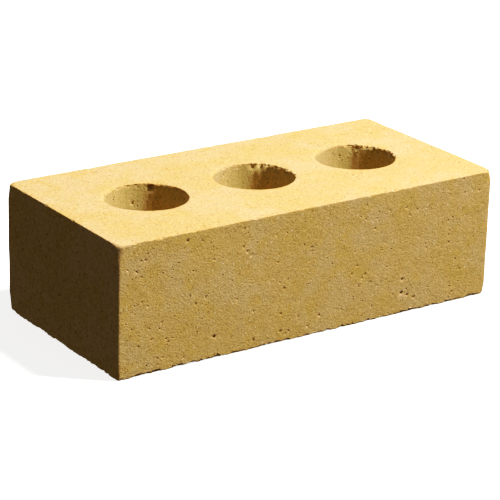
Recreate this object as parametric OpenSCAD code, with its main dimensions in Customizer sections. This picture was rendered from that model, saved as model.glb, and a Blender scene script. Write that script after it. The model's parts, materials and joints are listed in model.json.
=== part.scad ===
// Perforated clay brick: one extruded, wire-cut and fired piece, lying on its bed face.
// Length runs along X and width along Y. The round perforations run through along Z.
// The origin is the centre of the bed face that it lies on.

/* [Brick] */
// Length of the stretcher faces
brick_l = 215; // [180:0.5:300]
// Width of the header faces
brick_w = 102.5; // [85:0.5:140]
// Height between the two bed faces
brick_h = 65; // [40:0.5:120]

/* [Arrises] */
// Radius that the die leaves on the four upright arrises
upright_r = 1.5; // [1.2:0.1:6]
// Bevel that handling wears along the arrises of the bed faces
bed_bevel = 0.5; // [0.1:0.1:1]

/* [Perforations] */
// Number of perforations in the row
hole_count = 3; // [1:1:3]
// Diameter of each perforation
hole_d = 39; // [20:0.5:46]
// Distance between the centres of neighbouring perforations
hole_pitch = 61; // [50:0.5:75]
// Bevel around the mouths of the perforations
rim_bevel = 0.5; // [0.1:0.1:1]

/* [Hidden] */
// Length by which a cutter runs past the face that it cuts through
overcut = 5;
// Facets of each drawn circle
round_fn = 96;

// Upright section through the block, half_span to each side, with its bed arrises bevelled.
module section(half_span) {
    flat_span = half_span - bed_bevel;
    polygon([
        [-half_span, bed_bevel],
        [-flat_span, 0],
        [flat_span, 0],
        [half_span, bed_bevel],
        [half_span, brick_h - bed_bevel],
        [flat_span, brick_h],
        [-flat_span, brick_h],
        [-half_span, brick_h - bed_bevel]
    ]);
}

// Prism of that section, centred on the origin, with its length across the section.
module prism(half_span, length) {
    rotate([90, 0, 0])
        linear_extrude(height = length, center = true)
            section(half_span);
}

// Rounded post that makes one upright arris, bevelled as the bed faces are.
module arris_post() {
    rotate_extrude($fn = round_fn)
        intersection() {
            section(upright_r);
            square([upright_r, brick_h]);
        }
}

// Solid block before the perforations.
module block() {
    core_l = brick_l - 2 * upright_r;
    core_w = brick_w - 2 * upright_r;
    prism(brick_l / 2, core_w);
    rotate([0, 0, 90])
        prism(brick_w / 2, core_l);
    for (side_x = [-1, 1], side_y = [-1, 1])
        translate([side_x * core_l / 2, side_y * core_w / 2, 0])
            arris_post();
}

// Cutter of one perforation, opened out by the bevel at both of its mouths.
module perforation() {
    bore_r = hole_d / 2;
    mouth_r = bore_r + rim_bevel;
    translate([0, 0, -overcut])
        cylinder(r = bore_r, h = brick_h + 2 * overcut, $fn = round_fn);
    cylinder(r1 = mouth_r, r2 = bore_r, h = rim_bevel, $fn = round_fn);
    translate([0, 0, brick_h - rim_bevel])
        cylinder(r1 = bore_r, r2 = mouth_r, h = rim_bevel, $fn = round_fn);
}

// The row of perforations, centred on the bed face.
module perforation_row() {
    for (i = [0 : hole_count - 1])
        translate([(i - (hole_count - 1) / 2) * hole_pitch, 0, 0])
            perforation();
}

module clay_brick() {
    color("khaki")
        difference() {
            block();
            perforation_row();
        }
}

clay_brick();
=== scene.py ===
import json
import math

import bpy
import numpy as np
from mathutils import Matrix, Vector
from mathutils.geometry import delaunay_2d_cdt


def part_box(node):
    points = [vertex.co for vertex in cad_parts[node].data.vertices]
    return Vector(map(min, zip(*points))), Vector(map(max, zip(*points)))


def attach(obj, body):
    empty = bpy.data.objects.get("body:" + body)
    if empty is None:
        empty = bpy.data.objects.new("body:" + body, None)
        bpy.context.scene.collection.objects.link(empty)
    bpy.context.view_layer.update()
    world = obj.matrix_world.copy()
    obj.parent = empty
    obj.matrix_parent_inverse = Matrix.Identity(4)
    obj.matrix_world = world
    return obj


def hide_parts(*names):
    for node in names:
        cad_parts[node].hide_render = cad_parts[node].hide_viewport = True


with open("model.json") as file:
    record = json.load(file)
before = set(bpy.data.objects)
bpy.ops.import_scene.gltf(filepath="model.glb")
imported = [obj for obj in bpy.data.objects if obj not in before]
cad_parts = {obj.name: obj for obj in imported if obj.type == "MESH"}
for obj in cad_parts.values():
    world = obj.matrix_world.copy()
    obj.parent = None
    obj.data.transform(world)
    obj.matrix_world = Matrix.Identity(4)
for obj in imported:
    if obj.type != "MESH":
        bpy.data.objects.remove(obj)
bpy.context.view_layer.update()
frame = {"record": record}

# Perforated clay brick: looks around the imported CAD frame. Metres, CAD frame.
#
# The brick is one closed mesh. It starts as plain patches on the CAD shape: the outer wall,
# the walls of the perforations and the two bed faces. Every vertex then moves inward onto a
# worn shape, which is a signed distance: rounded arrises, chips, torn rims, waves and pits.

# ---------------------------------------------------------------- sizes, in mm
MM = 0.001
LOW, HIGH = (np.array(corner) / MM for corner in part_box("clay_brick"))
LENGTH, WIDTH, HEIGHT = HIGH - LOW
HALF_L, HALF_W = LENGTH / 2, WIDTH / 2
LEFT, RIGHT, FRONT, BACK, FLOOR, TOP = -HALF_L, HALF_L, -HALF_W, HALF_W, 0.0, HEIGHT
BORES = [m for m in frame["record"]["mounts"] if m["kind"] == "bore"]
BORE_AXES = sorted(tuple(v / MM for v in m["pos_m"][:2]) for m in BORES)
BORE_R = BORES[0]["dims"]["r_mm"]
UPRIGHT_R = 1.5          # arris radius that the CAD solid has between its upright faces
BORE_REACH = 6           # how far from a perforation's wall its rim can matter

# mesh spacing
ALONG = 0.82             # along arrises and rims
ROWS = (0.0, 0.3, 0.65, 1.1, 1.7, 2.5)     # rows parallel to an arris or a rim
CORNER_ROWS = (0.0, 0.55, 1.2, 2.0)        # points on each side of an upright arris
FIELD = 1.36             # spacing in the middle of a face
FIELD_MARGIN = 0.6 * FIELD                 # between the middle of a face and what surrounds it
FIELD_EDGE = ROWS[-1] + FIELD_MARGIN       # where the middle of a face starts
BORE_ROW = 1.8           # rows in the middle of a perforation's wall, which is drawn upright
JITTER = 0.22            # share of the spacing by which a point is moved
RIM_COUNT = int(round(2 * math.pi * BORE_R / ALONG))

# which patch a vertex is on
OUTER, BED, BORE = 0, 1, 2

# pits in each square cm of the outer wall, a perforation's wall and a bed face
OUTER_PITS, BORE_PITS, BED_PITS = 0.65, 0.9, 0.25

rng = np.random.default_rng(20331)


# ---------------------------------------------------------------- noise
GRADIENTS = rng.normal(size=(256, 3))
GRADIENTS /= np.linalg.norm(GRADIENTS, axis=1)[:, None]
CELL_CORNERS = [(i, j, k) for i in (0, 1) for j in (0, 1) for k in (0, 1)]
SEED_SHIFT = np.array([17.31, 41.77, 73.19])
HASH = (73856093, 19349663, 83492791)
NOISE_GAIN = 1.7


def noise(points, scale, seed):
    """Smooth gradient noise, about -1 to 1, with features of the given size in mm."""
    q = points / scale + SEED_SHIFT * (seed + 1)
    cell = np.floor(q).astype(np.int64)
    part = q - cell
    ease = part ** 3 * (part * (part * 6 - 15) + 10)
    total = np.zeros(len(points))
    for corner in CELL_CORNERS:
        at = cell + corner
        pick = (at[:, 0] * HASH[0]) ^ (at[:, 1] * HASH[1]) ^ (at[:, 2] * HASH[2])
        pick = (pick ^ (pick >> 9)) & 255
        weight = np.prod(np.where(corner, ease, 1 - ease), axis=1)
        total += weight * np.einsum("ij,ij->i", GRADIENTS[pick], part - corner)
    return total * NOISE_GAIN


def run_noise(along, scale, seed, across=0.0):
    """The same noise over a run in mm, and over a second one across it if that is given."""
    return noise(np.column_stack([along, across + 0 * along, 0 * along]), scale, seed)


def smooth(low, high, value):
    """0 below low, 1 above high and an even rise in between."""
    t = np.clip((value - low) / (high - low), 0, 1)
    return t * t * (3 - 2 * t)


# ---------------------------------------------------------------- chips
# larger spalls, each an ellipsoid: centre, and radii along x, y and z
SPALLS = [
    ((LEFT - 0.4, FRONT - 0.8, TOP - 5.4), (1.6, 1.7, 2.8)),
    ((LEFT + 7.0, FRONT - 1.0, TOP + 0.5), (5.5, 1.7, 1.4)),
    ((LEFT + 22.0, FRONT - 1.1, TOP + 0.3), (3.0, 1.7, 1.3)),
    ((LEFT + 41.0, FRONT - 1.1, TOP + 0.4), (4.0, 1.7, 1.2)),
    ((LEFT + 74.0, FRONT - 1.2, TOP + 0.4), (3.0, 1.8, 1.2)),
    ((RIGHT + 1.2, BACK + 1.2, TOP + 0.8), (3.6, 3.6, 2.6)),
    ((RIGHT + 0.3, FRONT - 0.3, TOP + 0.3), (3.2, 3.2, 3.4)),
    ((RIGHT + 1.0, FRONT - 1.0, FLOOR - 0.6), (2.4, 2.4, 2.4)),
    ((LEFT - 0.9, FRONT - 0.9, FLOOR - 0.4), (2.2, 2.2, 2.2)),
]

# chips along an arris: size, longest stretch along it, and how near their centres come to it
LOWER_CHIPS = {"size": 1.7, "stretch": 1.2, "nearest": 0.3}
UPPER_CHIPS = {"size": 1.1, "stretch": 1.6, "nearest": 0.42}
UPRIGHT_CHIPS = {"size": 1.1, "stretch": 1.8, "nearest": 0.42}

# chips on the rims: first and last angle in degrees, count and size; upper ones left to right
UPPER_RIMS = ((80, 150, 8, 0.8), (75, 120, 6, 0.8), (60, 130, 6, 0.7))
LOWER_RIM = (0, 330, 12, 1.2)

CHIP_ROUGH = 0.25        # share of a chip's size by which its wall is uneven


def arris_chips(start, end, count, size, stretch, nearest):
    """Random chips along an arris that runs along one axis."""
    start, end = np.array(start), np.array(end)
    run = abs(end - start) > 1e-6
    away = np.where(run, 0, np.sign((start + end) / 2 - [0, 0, HEIGHT / 2]))
    out = []
    for t in rng.random(count):
        r = size * rng.uniform(0.5, 1.25) ** 1.4
        share = rng.uniform(nearest, nearest + 0.28)
        centre = start + (end - start) * t + away * r * share * rng.uniform(0.8, 1.0, 3)
        out.append((centre, r * (1 + run * rng.uniform(0.2, stretch))))
    return out


def rim_chips(axis, z, first, last, count, size):
    """Chips on the rim of a perforation, between two angles in degrees."""
    out = []
    for a in np.radians(np.linspace(first, last, count)):
        a += rng.normal(0, 0.03)
        r = size * rng.uniform(0.6, 1.3)
        reach = BORE_R + r * rng.uniform(-0.3, 0.3)
        beyond = math.copysign(r * rng.uniform(0.0, 0.5), z - HEIGHT / 2)
        centre = (axis[0] + reach * math.cos(a), axis[1] + reach * math.sin(a), z + beyond)
        out.append((centre, (r, r, r)))
    return out


def all_chips():
    """Every chip: centre and radii along x, y and z."""
    out = list(SPALLS)
    for y in (FRONT, BACK):
        out += arris_chips((LEFT, y, FLOOR), (RIGHT, y, FLOOR), 90, **LOWER_CHIPS)
        out += arris_chips((LEFT, y, TOP), (RIGHT, y, TOP), 40, **UPPER_CHIPS)
    for x in (LEFT, RIGHT):
        out += arris_chips((x, FRONT, FLOOR), (x, BACK, FLOOR), 46, **LOWER_CHIPS)
        out += arris_chips((x, FRONT, TOP), (x, BACK, TOP), 20, **UPPER_CHIPS)
        for y in (FRONT, BACK):
            out += arris_chips((x, y, FLOOR), (x, y, TOP), 20, **UPRIGHT_CHIPS)
    for axis, chips in zip(BORE_AXES, UPPER_RIMS):
        out += rim_chips(axis, TOP, *chips)
    for axis in BORE_AXES:
        out += rim_chips(axis, FLOOR, *LOWER_RIM)
    return [(np.array(c, float), np.array(r, float) * np.ones(3)) for c, r in out]


CHIPS = all_chips()

# ---------------------------------------------------------------- worn shape
# arris radii between the upright faces: at the right back, right front, left back, left front
UPRIGHT_RADII = (2.6, 1.9, 1.5, 1.1)

# knocked corners: side along x, side along y, bottom 0 or top 1, growth of the upright
# radius and of the bed radius, and how far the wear reaches
KNOCKED = [(-1, -1, 1, 2.4, 1.3, 9.0), (-1, 1, 1, 2.0, 1.0, 9.0), (-1, 1, 0, 2.2, 1.2, 12.0),
           (-1, -1, 0, 0.4, 0.1, 5.0), (1, -1, 1, 1.2, 1.0, 7.0), (1, -1, 0, 1.2, 0.8, 7.0)]

# start and end of the torn side of each perforation's mouth, and its depth
TORN = [(math.radians(-20), math.radians(60), 0.5),
        (math.radians(-35), math.radians(58), 1.9),
        (math.radians(-30), math.radians(66), 1.6)]

# side of each perforation whose upper rim is worn soft, and the growth of its radius there
WORN_SIDE = math.radians(150)
WORN_RIM = 1.5

# pits put in the first perforation: angle, depth below the bed face and radius
WALL_PITS = [(52, 2.0, 1.5), (118, 5.0, 1.0), (112, 5.4, 0.8), (136, 1.2, 1.1),
             (100, 1.0, 0.8), (84, 0.9, 0.9), (73, 0.8, 0.8)]

PIT_DEPTH = 0.75         # depth of a pit as a share of its radius
PIT_REACH = 1.3          # how far a pit reaches, in radii
DEEP_PIT = 0.5           # depth at which a pit's dirt and painted shade are as dark as they get

# how the vertices are moved onto the worn shape
MOVES = 6                # Newton steps
PROBE = 0.01             # distance over which a slope is taken
LONGEST_MOVE = 1.2
LEAST_SLOPE = 0.25       # least squared slope, so that no step runs away


def rounded_corner(a, b, r):
    """Distance to the solid a < 0 and b < 0 whose edge is rounded to the radius r."""
    u, v = a + r, b + r
    return np.hypot(np.maximum(u, 0), np.maximum(v, 0)) + np.minimum(np.maximum(u, v), 0) - r


def torn_span(angle, which):
    """1 on the torn side of a perforation's mouth and 0 elsewhere."""
    first, last, _ = TORN[which]
    return smooth(first - 0.15, first + 0.1, angle) * (1 - smooth(last - 0.1, last + 0.15, angle))


def torn(p, axis, which):
    """How far the mouth of a perforation is torn outward: a ragged comb on one side."""
    away = p[:, :2] - axis
    angle = np.arctan2(away[:, 1], away[:, 0])
    below = HEIGHT - p[:, 2]
    span, most = torn_span(angle, which), TORN[which][2]
    lean = angle + below * 0.02
    comb = run_noise(lean * BORE_R, 1.5, 11 + which, below * 0.15)
    coarse = run_noise(lean * BORE_R, 5, 21 + which)
    teeth = smooth(-0.15, 0.45, comb) * (0.75 + 0.6 * coarse)
    return most * span * teeth * (1 - smooth(1.0, 4.0, below))


def shape(p, soft):
    """Signed distance to the worn brick; soft holds what softness() gave each point."""
    x, y, z = p.T
    upright = soft["upright"]
    qx, qy = abs(x) - (HALF_L - upright), abs(y) - (HALF_W - upright)
    plan = np.hypot(np.maximum(qx, 0), np.maximum(qy, 0))
    plan += np.minimum(np.maximum(qx, qy), 0) - upright
    bed = abs(z - HEIGHT / 2) - HEIGHT / 2
    out = rounded_corner(plan, bed, soft["bed"])
    for i, (ax, ay) in enumerate(BORE_AXES):
        near = soft["near_bore"][i]
        q = p[near]
        wall = BORE_R - np.hypot(q[:, 0] - ax, q[:, 1] - ay) + torn(q, (ax, ay), i)
        out[near] = np.maximum(out[near], rounded_corner(wall, bed[near], soft["rim"][near]))
    for (centre, radii), near in zip(CHIPS, soft["near_chip"]):
        q = (p[near] - centre) / radii
        rough = CHIP_ROUGH * soft["chip_noise"][near]
        cut = (1 + rough - np.linalg.norm(q, axis=1)) * radii.min()
        out[near] = np.maximum(out[near], cut)
    return out + soft["relief"]


def relief(p, kind, run):
    """Inward relief: waves, torn clay and, in the perforations, drag marks of the core."""
    out = 0.10 * (1 + noise(p, 38, 1)) + 0.05 * (1 + noise(p, 9, 2))
    out += 0.10 * (0.5 + 0.5 * noise(p, 3.1, 3))
    drag = np.column_stack([run, 0 * run, p[:, 2] / 14])
    marks = 0.16 * (1 + noise(drag, 2.6, 4)) + 0.07 * (1 + noise(drag, 1.3, 9))
    return out + (kind == BORE) * marks


def pit_depth(verts, pits):
    """How deep the pits are at each vertex."""
    depth = np.zeros(len(verts))
    for cx, cy, cz, r in pits:
        near = np.flatnonzero((abs(verts - (cx, cy, cz)) < r * PIT_REACH).all(axis=1))
        d = np.linalg.norm(verts[near] - (cx, cy, cz), axis=1) / r
        depth[near] = np.maximum(depth[near], PIT_DEPTH * r * (1 - smooth(0.25, 1.05, d)))
    return depth


def arris_radii(verts):
    """Radii between the upright faces and towards the bed faces, at each vertex."""
    x, y, z = verts.T
    sides = [(x > 0) & (y > 0), x > 0, y > 0]
    upright = np.select(sides, UPRIGHT_RADII[:3], UPRIGHT_RADII[3])
    bed = 0.4 + 0.2 * (1 + noise(verts, 7, 6))
    bed += 1.0 * (z < HEIGHT / 2) * smooth(0.0, 0.7, noise(verts, 2.1, 10))
    for side_x, side_y, level, grow_upright, grow_bed, reach in KNOCKED:
        corner = np.array([side_x * HALF_L, side_y * HALF_W, level * HEIGHT])
        close = 1 - smooth(0.15, 1.0, np.linalg.norm(verts - corner, axis=1) / reach)
        upright = upright + grow_upright * close
        bed += grow_bed * close
    return upright + 0.3 * (1 + noise(verts, 16, 5)), bed


def rim_radii(verts):
    """Radius of the perforations' rims at each vertex, and the vertices near each one."""
    x, y, z = verts.T
    rim = 0.35 + 0.2 * (1 + noise(verts, 6, 7))
    near_bore = []
    for i, (ax, ay) in enumerate(BORE_AXES):
        angle = np.arctan2(y - ay, x - ax)
        near = np.hypot(x - ax, y - ay) < BORE_R + BORE_REACH
        upper = near & (z > HEIGHT / 2)
        rim += WORN_RIM * smooth(0.2, 0.9, np.cos(angle - WORN_SIDE)) * upper
        comb = run_noise(angle * BORE_R, 1.7, 31 + i)
        burr = torn_span(angle, i) * smooth(0.0, 0.5, comb)
        rim += TORN[i][2] * 1.3 * burr * upper
        near_bore.append(np.flatnonzero(near))
    return rim, near_bore


def softness(verts, run, kind, depth):
    """What shape() needs to know at each vertex, taken before any of them moves."""
    upright, bed = arris_radii(verts)
    rim, near_bore = rim_radii(verts)
    near_chip = [np.flatnonzero((abs(verts - c) < r * 1.5 + 2.0).all(axis=1)) for c, r in CHIPS]
    return {"upright": upright, "bed": bed, "rim": rim, "near_bore": near_bore,
            "near_chip": near_chip, "chip_noise": noise(verts, 1.3, 8),
            "relief": relief(verts, kind, run) + depth}


def wear(verts, soft):
    """Moves each vertex onto the worn shape, and never out of the CAD box."""
    p = verts.copy()
    for _ in range(MOVES):
        here = shape(p, soft)
        slope = np.column_stack([(shape(p + step, soft) - here) / PROBE
                                 for step in np.eye(3) * PROBE])
        squared = np.maximum((slope ** 2).sum(axis=1), LEAST_SLOPE)
        p -= np.clip(here / squared, -LONGEST_MOVE, LONGEST_MOVE)[:, None] * slope
    return np.clip(p, [LEFT, FRONT, FLOOR], [RIGHT, BACK, TOP])


# ---------------------------------------------------------------- mesh patches
def levels():
    """Rows across the height, finer towards both arrises."""
    inner = HEIGHT - 2 * ROWS[-1]
    count = max(int(round(inner / BORE_ROW)), 2)
    middle = ROWS[-1] + inner * np.arange(1, count) / count
    return np.concatenate([ROWS, middle, HEIGHT - np.array(ROWS[::-1])])


def outline():
    """Plan of the brick as a loop of (x, y), with closer points around its corners."""
    pts = []
    near = np.array(CORNER_ROWS)
    core_l, core_w = HALF_L - UPRIGHT_R, HALF_W - UPRIGHT_R
    # each side: its start and end, then the centre and first angle of the arris after it
    sides = [((-core_l, FRONT), (core_l, FRONT), (core_l, -core_w), -90),
             ((RIGHT, -core_w), (RIGHT, core_w), (core_l, core_w), 0),
             ((core_l, BACK), (-core_l, BACK), (-core_l, core_w), 90),
             ((LEFT, core_w), (LEFT, -core_w), (-core_l, -core_w), 180)]
    for start, end, centre, turn in sides:
        start, end = np.array(start), np.array(end)
        span = np.linalg.norm(end - start)
        inner = span - 2 * near[-1]
        count = int(round(inner / ALONG))
        steps = np.concatenate([near, near[-1] + inner * np.arange(1, count) / count,
                                span - near[::-1]])
        pts += [start + (end - start) * s / span for s in steps]
        for a in np.radians(turn + np.array([22.5, 45, 67.5])):
            pts.append(np.array(centre) + UPRIGHT_R * np.array([math.cos(a), math.sin(a)]))
    return np.array(pts)


def circle(axis, radius, shift=0.0):
    """A loop of points around a perforation, turned by a share of their spacing."""
    a = (np.arange(RIM_COUNT) + shift) * 2 * math.pi / RIM_COUNT
    return np.column_stack([axis[0] + radius * np.cos(a), axis[1] + radius * np.sin(a)])


def grid(u, v):
    """Every pair of two lists of numbers."""
    return np.array([(a, b) for a in u for b in v])


def triangles(flat):
    """Delaunay triangles of a flat patch, as rows of three indices."""
    result = delaunay_2d_cdt([Vector(q) for q in flat], [], [], 0, 1e-7)
    assert len(result[0]) == len(flat), "a patch lost points"
    order = np.array([o[0] for o in result[3]])
    return order[np.array([f[:] for f in result[2]])]


def rosettes(flat, pits, room):
    """Points of a patch with rings of points put in at its pits, for those that fit in."""
    keep = np.ones(len(flat), bool)
    extra = []
    for u, v, r in pits:
        if not room(u, v, r * PIT_REACH):
            continue
        keep &= np.hypot(flat[:, 0] - u, flat[:, 1] - v) > 1.25 * r
        turn = rng.random() * 6
        extra.append([[u, v]])
        for share, count in ((0.5, 6), (1.0, 10)):
            a = turn + np.arange(count) * 2 * math.pi / count
            extra.append(np.column_stack([u + share * r * np.cos(a), v + share * r * np.sin(a)]))
    return np.vstack([flat[keep]] + extra)


def pit_list(area, pits_per_cm2, span_u, span_v):
    """Random pits of a patch: centre and radius, most of them small."""
    count = int(area / 100 * pits_per_cm2)
    r = 0.3 + 0.6 * rng.random(count) ** 6
    return np.column_stack([rng.uniform(*span_u, count), rng.uniform(*span_v, count), r])


def field_grid(width, height, edge_u, edge_v):
    """Staggered points with a little disorder, kept clear of the edges of a rectangle."""
    gap_u, gap_v = FIELD * 1.07, FIELD * 0.93
    u, v = np.meshgrid(np.arange(0, width, gap_u), np.arange(0, height, gap_v), indexing="ij")
    u = u + gap_u / 2 * (np.arange(u.shape[1]) % 2)
    flat = np.column_stack([u.ravel(), v.ravel()])
    flat += rng.uniform(-1, 1, flat.shape) * JITTER * FIELD
    inside = (flat[:, 0] > edge_u) & (flat[:, 0] < width - edge_u)
    inside &= (flat[:, 1] > edge_v) & (flat[:, 1] < height - edge_v)
    return flat[inside]


def outer_points(at, step):
    """Points of the unrolled outer wall: rows at the bed arrises, lines at the upright ones."""
    rows = levels()
    fine = [r for r in rows if min(r, HEIGHT - r) < ROWS[-1] + 0.01]
    middle = [r for r in rows if r not in fine]
    seam = grid((0, at[-1]), middle)
    tight = at[1:-1][step[:-1] + step[1:] < 1.75 * ALONG]
    field = field_grid(at[-1], HEIGHT, FIELD_MARGIN, FIELD_EDGE)
    clear = abs(field[:, :1] - tight[None]).min(axis=1) > 0.5 * FIELD
    return np.vstack([grid(at, fine), seam, grid(tight, middle), field[clear]])


def wall_patch(loop, pits_per_cm2, kind):
    """An upright wall on a closed loop: points, triangles, pits and the run along the loop."""
    step = np.linalg.norm(np.roll(loop, -1, axis=0) - loop, axis=1)
    at = np.concatenate([[0], np.cumsum(step)])
    flat = grid(at, levels()) if kind == BORE else outer_points(at, step)
    pits = pit_list(at[-1] * HEIGHT, pits_per_cm2, (3, at[-1] - 3), (3.4, HEIGHT - 3.4))
    flat = rosettes(flat, pits, lambda u, v, r: True)
    faces = triangles(flat)
    closed = np.vstack([loop, loop[:1]])

    def rolled(u, z):
        return np.column_stack([np.interp(u, at, closed[:, 0]),
                                np.interp(u, at, closed[:, 1]), z])

    if kind == BORE:
        faces = faces[:, ::-1]
    centres = rolled(pits[:, 0], pits[:, 1])
    return rolled(*flat.T), faces, np.column_stack([centres, pits[:, 2]]), flat[:, 0]


def bed_patch(loop, z):
    """A bed face with its holes: points, triangles and pits."""
    pts = [loop]
    for inset in ROWS[1:]:
        pts.append(loop * [(HALF_L - inset) / HALF_L, (HALF_W - inset) / HALF_W])
    for axis in BORE_AXES:
        for i, grow in enumerate(ROWS):
            pts.append(circle(axis, BORE_R + grow, 0.5 * (i % 2)))
    field = field_grid(LENGTH, WIDTH, 0, 0) - [HALF_L, HALF_W]

    def room(a, b, r=0.0):
        clear = HALF_L - FIELD_EDGE - r > abs(a) and HALF_W - FIELD_EDGE - r > abs(b)
        return clear and all(math.hypot(a - ax, b - ay) > BORE_R + FIELD_EDGE + r
                             for ax, ay in BORE_AXES)

    inside = np.array([room(a, b) for a, b in field])
    pits = pit_list(LENGTH * WIDTH, BED_PITS, (LEFT, RIGHT), (FRONT, BACK))
    pits = np.array([q for q in pits if room(*q)])
    flat = np.vstack(pts + [rosettes(field[inside], pits, room)])
    faces = triangles(flat)
    centre = flat[faces].mean(axis=1)
    chord = BORE_R * math.cos(math.pi / RIM_COUNT) * 0.99999
    for ax, ay in BORE_AXES:
        keep = np.hypot(centre[:, 0] - ax, centre[:, 1] - ay) > chord
        faces, centre = faces[keep], centre[keep]
    if z == FLOOR:
        faces = faces[:, ::-1]
    place = np.column_stack([flat, np.full(len(flat), z)])
    return place, faces, np.column_stack([pits[:, :2], np.full(len(pits), z), pits[:, 2]])


def brick_surface():
    """Before wear: vertices, triangles, pits, and each vertex's run along a bore and patch."""
    loop = outline()
    patches = [(*wall_patch(loop, OUTER_PITS, OUTER)[:3], 0, OUTER)]
    for axis in BORE_AXES:
        patches.append((*wall_patch(circle(axis, BORE_R), BORE_PITS, BORE), BORE))
    for z in (FLOOR, TOP):
        patches.append((*bed_patch(loop, z), 0, BED))
    shift, verts, tris, runs, kinds = 0, [], [], [], []
    for place, faces, _, run, kind in patches:
        verts.append(place)
        tris.append(faces + shift)
        runs.append(run + np.zeros(len(place)))
        kinds.append(np.full(len(place), kind))
        shift += len(place)
    verts, tris = np.vstack(verts), np.vstack(tris)
    # patches share the points along their common edges, so equal points become one
    _, first, back = np.unique(np.round(verts, 4), axis=0, return_index=True,
                               return_inverse=True)
    tris = back.ravel()[tris]
    tris = tris[(tris[:, 0] != tris[:, 1]) & (tris[:, 1] != tris[:, 2])
                & (tris[:, 2] != tris[:, 0])]
    return (verts[first], tris, np.vstack([patch[2] for patch in patches]),
            np.concatenate(runs)[first], np.concatenate(kinds)[first])


def wall_pits():
    """WALL_PITS as centres and radii."""
    ax, ay = BORE_AXES[0]
    return [(ax + BORE_R * math.cos(math.radians(a)), ay + BORE_R * math.sin(math.radians(a)),
             HEIGHT - down, r) for a, down, r in WALL_PITS]


def build_brick():
    """The brick's object. Its mesh carries how deep each pit is, for the dirt and painted shade
    in pits, and what lies in a bore, for the painted light on the perforations' walls.
    """
    verts, tris, pits, run, kind = brick_surface()
    depth = pit_depth(verts, np.vstack([pits, wall_pits()]))
    verts = wear(verts, softness(verts, run, kind, depth))
    mesh = bpy.data.meshes.new("clay_brick_worn")
    mesh.from_pydata((verts * MM).tolist(), [], tris.tolist())
    mesh.polygons.foreach_set("use_smooth", [True] * len(mesh.polygons))
    # pit depth sets the dirt and painted shade in the pits; the bore mask sets the painted light
    # on the perforations' walls
    from_bed = np.minimum(verts[:, 2], HEIGHT - verts[:, 2])
    bore_painted_light = (kind == BORE) * smooth(0.4, 2.5, from_bed)
    for name, values in (("pit", np.clip(depth / DEEP_PIT, 0, 1)), ("bore", bore_painted_light)):
        layer = mesh.attributes.new(name, "FLOAT", "POINT")
        layer.data.foreach_set("value", values)
    mesh.update()
    piece = bpy.data.objects.new("clay_brick_worn", mesh)
    bpy.context.collection.objects.link(piece)
    return piece


# ---------------------------------------------------------------- materials
def linear(r, g, b):
    """An sRGB colour of 0 to 255 as linear RGBA."""
    out = []
    for c in (r / 255, g / 255, b / 255):
        out.append(c / 12.92 if c <= 0.04045 else ((c + 0.055) / 1.055) ** 2.4)
    return (*out, 1.0)


BUFF, BUFF_PALE, BUFF_DEEP = linear(204, 167, 107), linear(206, 172, 123), linear(202, 164, 93)
GRAIN_LIGHT, GRAIN_DARK = linear(233, 209, 156), linear(146, 106, 48)
# the paler colour for the perforations' walls is painted light
BORE_PAINTED_LIGHT = linear(212, 196, 134)
# the dark colour that goes into pores and pits is partly dirt and partly painted shade
GROG, IRON, PORE_SHADE_AND_DIRT = linear(238, 222, 182), linear(100, 70, 30), linear(104, 68, 24)


class Nodes:
    """A node tree that is filled by calls: each gives the socket that it makes."""

    def __init__(self, material):
        material.use_nodes = True
        self.tree = material.node_tree
        self.shader = self.tree.nodes["Principled BSDF"]

    def give(self, socket, value):
        """Puts a value on an input, or links a socket to it."""
        if isinstance(value, bpy.types.NodeSocket):
            self.tree.links.new(value, socket)
        else:
            socket.default_value = value

    def put(self, kind, inputs, output=0, **settings):
        node = self.tree.nodes.new(kind)
        for key, value in settings.items():
            setattr(node, key, value)
        for key, value in inputs.items():
            self.give(node.inputs[key], value)
        return node.outputs[output]

    def finish(self, inputs):
        """Fills inputs of the shader."""
        for key, value in inputs.items():
            self.give(self.shader.inputs[key], value)

    def attribute(self, name):
        return self.put("ShaderNodeAttribute", {}, output=2, attribute_name=name)

    def noise(self, where, size_mm, detail=3.0, rough=0.55):
        return self.put("ShaderNodeTexNoise", {"Vector": where, "Scale": 1000 / size_mm,
                                               "Detail": detail, "Roughness": rough})

    def cells(self, where, size_mm):
        """Distance to the middle of a random cell, and two random numbers of that cell."""
        inputs = {"Vector": where, "Scale": 1000 / size_mm}
        middle = self.put("ShaderNodeTexVoronoi", inputs, output=0)
        split = self.tree.nodes.new("ShaderNodeSeparateColor")
        self.give(split.inputs[0], self.put("ShaderNodeTexVoronoi", inputs, output=1))
        return middle, split.outputs[0], split.outputs[1]

    def ramp(self, value, low, high, to_low=0.0, to_high=1.0):
        return self.put("ShaderNodeMapRange",
                        {"Value": value, "From Min": low, "From Max": high,
                         "To Min": to_low, "To Max": to_high}, interpolation_type="SMOOTHSTEP")

    def math(self, kind, a, b):
        return self.put("ShaderNodeMath", {0: a, 1: b}, operation=kind)

    def mix(self, factor, a, b):
        """Colour a turned into b by a factor."""
        return self.put("ShaderNodeMix", {0: factor, 6: a, 7: b}, output=2, data_type="RGBA")

    def bump(self, height, distance_mm):
        return self.put("ShaderNodeBump", {"Height": height, "Distance": distance_mm * MM,
                                           "Strength": 1.0})


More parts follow.
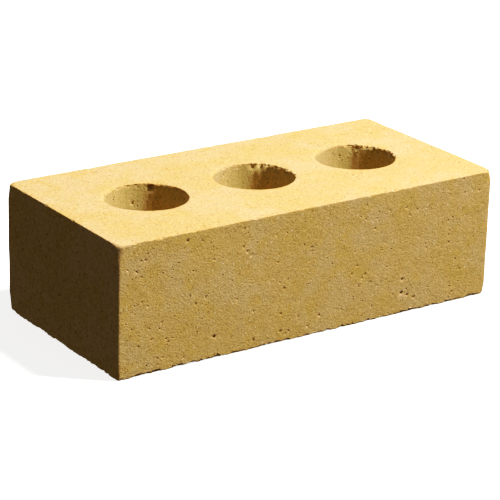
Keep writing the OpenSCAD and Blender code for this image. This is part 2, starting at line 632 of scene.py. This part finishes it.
def clay_material():
    """Fired buff clay: tones, grain, grog and iron specks, open pores darkened with dirt and
    painted shade, perforation walls painted paler as painted light, and a rough surface.
    """
    material = bpy.data.materials.new("fired_clay_buff")
    n = Nodes(material)
    where = n.put("ShaderNodeTexCoord", {}, output=3)

    # tones of the fired clay
    patches = n.noise(where, 24, 2.0)
    streaks = n.noise(where, 8, 3.0)
    colour = n.mix(n.ramp(patches, 0.38, 0.66), BUFF, BUFF_PALE)
    colour = n.mix(n.ramp(streaks, 0.45, 0.7, 0, 0.65), colour, BUFF_DEEP)
    grain = n.noise(where, 1.3, 4.0, 0.75)
    colour = n.mix(n.ramp(grain, 0.53, 0.72, 0, 0.6), colour, GRAIN_LIGHT)
    colour = n.mix(n.ramp(grain, 0.47, 0.3, 0, 0.7), colour, GRAIN_DARK)

    # the walls of the perforations, painted paler: painted light that brightens the lit side of
    # their walls
    colour = n.mix(n.math("MULTIPLY", n.attribute("bore"), 0.42), colour, BORE_PAINTED_LIGHT)

    # light grog and dark iron specks
    middle, first, second = n.cells(where, 1.9)
    dot = n.ramp(middle, 0.3, 0.14)
    light = n.math("MULTIPLY", dot, n.ramp(first, 0.86, 0.94, 0, 0.6))
    dark = n.math("MULTIPLY", dot, n.ramp(second, 0.86, 0.92, 0, 0.6))
    colour = n.mix(light, colour, GROG)
    colour = n.mix(dark, colour, IRON)

    # open pores: small ones in the shading, larger ones are in the mesh; their darker colour is
    # dirt and painted shade
    middle, first, _ = n.cells(where, 2.7)
    pore = n.math("MULTIPLY", n.ramp(middle, 0.2, 0.07), n.ramp(first, 0.8, 0.88))
    pit = n.attribute("pit")
    pore_shade_and_dirt = n.math("MAXIMUM", n.math("MULTIPLY", pore, 0.75), n.math("MULTIPLY", pit, 0.5))
    colour = n.mix(n.math("MULTIPLY", pore_shade_and_dirt, 0.75), colour, PORE_SHADE_AND_DIRT)

    height = n.math("SUBTRACT", n.noise(where, 0.95, 5.0, 0.7),
                    n.math("MULTIPLY", pore, 0.9))
    n.finish({"Base Color": colour, "Roughness": n.ramp(grain, 0.3, 0.7, 0.95, 0.82),
              "Normal": n.bump(height, 0.36), "Specular IOR Level": 0.25})
    return material


def floor_material():
    """White and slightly bright by itself, so that the shadow on it stays pale."""
    material = bpy.data.materials.new("pale_floor")
    Nodes(material).finish({"Base Color": (0.9, 0.9, 0.9, 1), "Roughness": 0.9,
                            "Specular IOR Level": 0.1,
                            "Emission Color": (1, 1, 1, 1), "Emission Strength": 0.85})
    return material


# ---------------------------------------------------------------- stage, in metres
CAMERA_AZIMUTH, CAMERA_ELEVATION, CAMERA_ROLL = map(math.radians, (-34.86, 20.23, 1.55))
CAMERA_DISTANCE = 1.088
CAMERA_ASIDE, CAMERA_ABOVE = -0.0003, 0.0252     # aim, from the middle of the brick's base
SENSOR_MM, LENS_MM = 36.0, 158.9

KEY_AZIMUTH, KEY_ELEVATION, KEY_DISTANCE = math.radians(47), math.radians(60.5), 1.8
KEY_SIZE, KEY_WATTS, KEY_COLOUR = 0.2, 69, (1.0, 0.985, 0.95)
WORLD_STRENGTH = 0.165

FLOOR_HALF, FLOOR_GAP = 6.0, 0.0001      # half its side, and how far below the brick it is

# tone curve of the camera, as scene light and displayed light
TONE_WHITE = 1.25
TONE = ((0.03, 0.0085), (0.07, 0.034), (0.11, 0.066), (0.18, 0.136), (0.25, 0.238),
        (0.31, 0.305), (0.49, 0.485), (0.71, 0.70), (0.95, 0.865))


def backwards(azimuth, elevation):
    """From the brick towards a camera or lamp. Azimuth 0 is in front, at -Y."""
    return Vector((math.sin(azimuth) * math.cos(elevation),
                   -math.cos(azimuth) * math.cos(elevation), math.sin(elevation)))


def add_camera():
    back = backwards(CAMERA_AZIMUTH, CAMERA_ELEVATION)
    level = Vector((math.cos(CAMERA_AZIMUTH), math.sin(CAMERA_AZIMUTH), 0))
    plumb = back.cross(level)
    right = level * math.cos(CAMERA_ROLL) + plumb * math.sin(CAMERA_ROLL)
    up = plumb * math.cos(CAMERA_ROLL) - level * math.sin(CAMERA_ROLL)
    base = Vector(((LOW + HIGH) / 2 * MM))
    base.z = LOW[2] * MM
    target = base + right * CAMERA_ASIDE + up * CAMERA_ABOVE
    data = bpy.data.cameras.new("camera")
    data.sensor_fit, data.sensor_width, data.lens = "HORIZONTAL", SENSOR_MM, LENS_MM
    data.clip_start, data.clip_end = 0.01, 50
    camera = bpy.data.objects.new("camera", data)
    turn = Matrix((right, up, back)).transposed().to_4x4()
    camera.matrix_world = Matrix.Translation(target + back * CAMERA_DISTANCE) @ turn
    bpy.context.collection.objects.link(camera)
    bpy.context.scene.camera = camera


def add_key():
    """A square soft box that looks at the middle of the brick."""
    back = backwards(KEY_AZIMUTH, KEY_ELEVATION)
    data = bpy.data.lights.new("key", "AREA")
    data.shape, data.size, data.energy, data.color = "SQUARE", KEY_SIZE, KEY_WATTS, KEY_COLOUR
    lamp = bpy.data.objects.new("key", data)
    aim = Vector((0, 0, HEIGHT / 2 * MM))
    turn = back.to_track_quat("Z", "Y").to_matrix().to_4x4()
    lamp.matrix_world = Matrix.Translation(aim + back * KEY_DISTANCE) @ turn
    bpy.context.collection.objects.link(lamp)


def add_world():
    world = bpy.data.worlds.new("studio")
    world.use_nodes = True
    background = world.node_tree.nodes["Background"]
    background.inputs["Color"].default_value = (1, 1, 1, 1)
    background.inputs["Strength"].default_value = WORLD_STRENGTH
    bpy.context.scene.world = world


def build_floor():
    """A white floor that catches the shadow and sends no light up to the brick."""
    half = FLOOR_HALF
    mesh = bpy.data.meshes.new("floor")
    mesh.from_pydata([(-half, -half, 0), (half, -half, 0), (half, half, 0), (-half, half, 0)],
                     [], [(0, 1, 2, 3)])
    mesh.materials.append(floor_material())
    piece = bpy.data.objects.new("floor", mesh)
    piece.location.z = LOW[2] * MM - FLOOR_GAP
    piece.visible_diffuse = piece.visible_glossy = False
    bpy.context.collection.objects.link(piece)
    return piece


def set_tone():
    view = bpy.context.scene.view_settings
    view.view_transform = "Standard"
    view.use_curve_mapping = True
    mapping = view.curve_mapping
    mapping.white_level = (TONE_WHITE,) * 3
    curve = mapping.curves[3]
    for light, shown in TONE:
        curve.points.new(light / TONE_WHITE, shown)
    mapping.update()


add_camera()
floor = build_floor()
add_world()
set_tone()
add_key()

brick = build_brick()
brick.data.materials.append(clay_material())
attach(brick, "root")
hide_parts("clay_brick")
